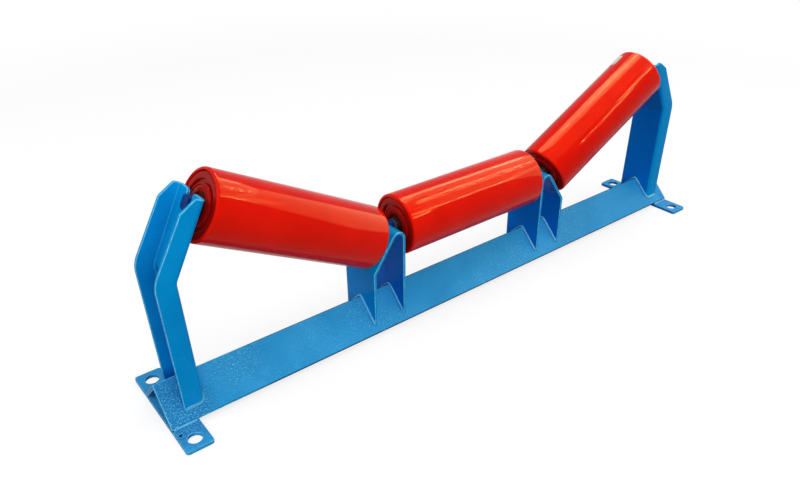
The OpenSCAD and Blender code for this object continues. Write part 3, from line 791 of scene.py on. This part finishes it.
def make_patch():
    """A plain paper patch on the right roller, with round corners and a lifted edge."""
    bm = bmesh.new()
    rows = [patch_row(bm, i) for i in range(PATCH_ROWS + 1)]
    for first, second in zip(rows, rows[1:]):
        for j in range(PATCH_COLUMNS):
            bm.faces.new((first[j], second[j], second[j + 1], first[j + 1]))
    patch = new_piece("blank_patch", smooth_mesh(bm, "blank_patch"), patch_paper("patch_paper"),
                      "roller_paint", "right_drum")
    thick = patch.modifiers.new("thickness", "SOLIDIFY")
    thick.thickness = PATCH_T
    thick.offset = -1


# ---- Floor and world ----
FLOOR_HALF = 12.0
FLOOR_DROP = 0.5 * MM
FLOOR_BOUNCE = (0.10, 0.10, 0.10, 1)
FLOOR_SEEN = (0.30, 0.30, 0.30, 1)
# The floor's own glow, within the first distance from the middle and beyond the second
GLOW_NEAR, GLOW_FAR = (1.5, 0.76), (4.0, 1.0)
SKY_FOR_LIGHT = 0.35


def seen_rays(tree):
    """1 for the rays that see the background, straight or in a reflection."""
    path = tree.nodes.new("ShaderNodeLightPath")
    seen = path.outputs["Is Camera Ray"]
    for ray in ("Is Glossy Ray", "Is Transmission Ray"):
        either = tree.nodes.new("ShaderNodeMath")
        either.operation = "MAXIMUM"
        tree.links.new(seen, either.inputs[0])
        tree.links.new(path.outputs[ray], either.inputs[1])
        seen = either.outputs[0]
    return seen


def pale_floor():
    """Grey for the light that it gives back, and near white where it is seen."""
    m = Nodes("pale_floor")
    m.set(Base_Color=FLOOR_BOUNCE, Roughness=0.9, Specular_IOR_Level=0.0)
    bright = m.add("ShaderNodeBsdfDiffuse")
    bright.inputs["Color"].default_value = FLOOR_SEEN
    glow = m.add("ShaderNodeEmission")
    by_object = m.near((0, 0, 0), GLOW_NEAR[0], GLOW_FAR[0])
    m.link(m.spread(by_object, 0, 1, GLOW_FAR[1], GLOW_NEAR[1]), glow.inputs["Strength"])
    both = m.add("ShaderNodeAddShader")
    m.link(bright.outputs[0], both.inputs[0])
    m.link(glow.outputs[0], both.inputs[1])
    pick = m.add("ShaderNodeMixShader")
    m.link(seen_rays(m.tree), pick.inputs[0])
    m.link(m.shader.outputs[0], pick.inputs[1])
    m.link(both.outputs[0], pick.inputs[2])
    m.link(pick.outputs[0], m.tree.nodes["Material Output"].inputs["Surface"])
    return m.material


def make_floor():
    half = FLOOR_HALF
    mesh = bpy.data.meshes.new("floor")
    mesh.from_pydata([(-half, -half, 0), (half, -half, 0), (half, half, 0), (-half, half, 0)],
                     [], [(0, 1, 2, 3)])
    mesh.materials.append(pale_floor())
    floor = bpy.data.objects.new("floor", mesh)
    floor.location.z = -FLOOR_DROP
    bpy.context.scene.collection.objects.link(floor)


def make_world():
    """White where it is seen, and dimmer for the light that it gives."""
    world = bpy.data.worlds.new("studio")
    world.use_nodes = True
    bpy.context.scene.world = world
    tree = world.node_tree
    back = tree.nodes["Background"]
    back.inputs["Color"].default_value = (1, 1, 1, 1)
    level = tree.nodes.new("ShaderNodeMapRange")
    level.inputs["To Min"].default_value = SKY_FOR_LIGHT
    level.inputs["To Max"].default_value = 1.0
    tree.links.new(seen_rays(tree), level.inputs["Value"])
    tree.links.new(level.outputs["Result"], back.inputs["Strength"])


# ---- Lamps ----
WARM = (1.0, 0.82, 0.42)
# Watts that each square metre of a lamp's face needs for a brightness of 1
WATTS_AT_ONE = 4
# The streaks hang a little lower, as lamps at one height lose their reflections to each other
PANEL_HEIGHT = 2.0
STREAK_HEIGHT = 1.98
# Each gloss lamp is its name, its place over the floor, its size, its brightness and its turn
PANELS = (
    ("right_panel", (0.45, 0.64), (0.9, 1.15), 22, 0),
    ("right_glow", (0.50, -0.95), (1.1, 2.0), 3, 0),
    ("centre_panel_high", (1.65, 0.03), (1.5, 2.5), 7, 0),
    ("centre_panel_low", (2.15, -1.80), (1.9, 1.16), 7, 0),
)
STREAKS = (
    ("right_streak_high", (0.50, 0.60), (1.0, 0.08), 55, 0),
    ("right_streak_low", (1.62, -3.15), (0.95, 0.16), 130, 55),
    ("centre_streak_high", (1.60, 0.84), (1.3, 0.20), 26, 0),
    ("centre_streak_mid", (1.60, -0.22), (1.3, 0.06), 80, 0),
    ("centre_streak_fine", (1.60, -0.50), (1.3, 0.04), 90, 0),
    ("centre_streak_low", (2.00, -2.05), (1.6, 0.14), 75, 0),
)


def area_lamp(name, place, target, size, radiance, in_gloss=True, in_matt=True):
    """A soft lamp whose face is as bright as the radiance says."""
    data = bpy.data.lights.new(name, "AREA")
    data.shape = "RECTANGLE"
    data.size, data.size_y = size
    data.energy = radiance * WATTS_AT_ONE * size[0] * size[1]
    lamp = bpy.data.objects.new(name, data)
    lamp.location = place
    lamp.rotation_mode = "QUATERNION"
    lamp.rotation_quaternion = (Vector(target) - Vector(place)).to_track_quat("-Z", "Y")
    lamp.visible_camera = False
    lamp.visible_glossy = in_gloss
    lamp.visible_diffuse = in_matt
    bpy.context.scene.collection.objects.link(lamp)
    return lamp


def gloss_lamp(name, place, size, radiance, turn, height):
    """A warm lamp overhead, facing down, that only shows in the gloss."""
    x, y = place
    lamp = area_lamp(name, (x, y, height), (x, y, 0), size, radiance, in_matt=False)
    lamp.rotation_mode = "XYZ"
    lamp.rotation_euler = (0, 0, math.radians(turn))
    lamp.data.color = WARM


def make_lamps():
    middle = (0, 0, 0.1)
    area_lamp("top_fill", (0.8, -0.4, 2.3), middle, (3.0, 1.6), 1.4, in_gloss=False)
    area_lamp("front_fill", (-0.9, -2.2, 0.9), middle, (2.0, 1.2), 2.9, in_gloss=False)
    area_lamp("left_softbox", (-2.2, 0.5, 1.9), middle, (1.6, 1.4), 2.4)
    side = area_lamp("side_softbox", (3.2, -0.85, 1.5), (0, -0.85, 1.5), (3.5, 2.2), 6.0,
                     in_matt=False)
    side.data.color = WARM
    for lamp in PANELS:
        gloss_lamp(*lamp, PANEL_HEIGHT)
    for lamp in STREAKS:
        gloss_lamp(*lamp, STREAK_HEIGHT)


dress_cad_nodes()
make_frame_steel()
make_tubes()
make_welds()
make_patch()
make_floor()
make_world()
make_lamps()
make_camera()
bpy.context.scene.view_settings.view_transform = "Standard"
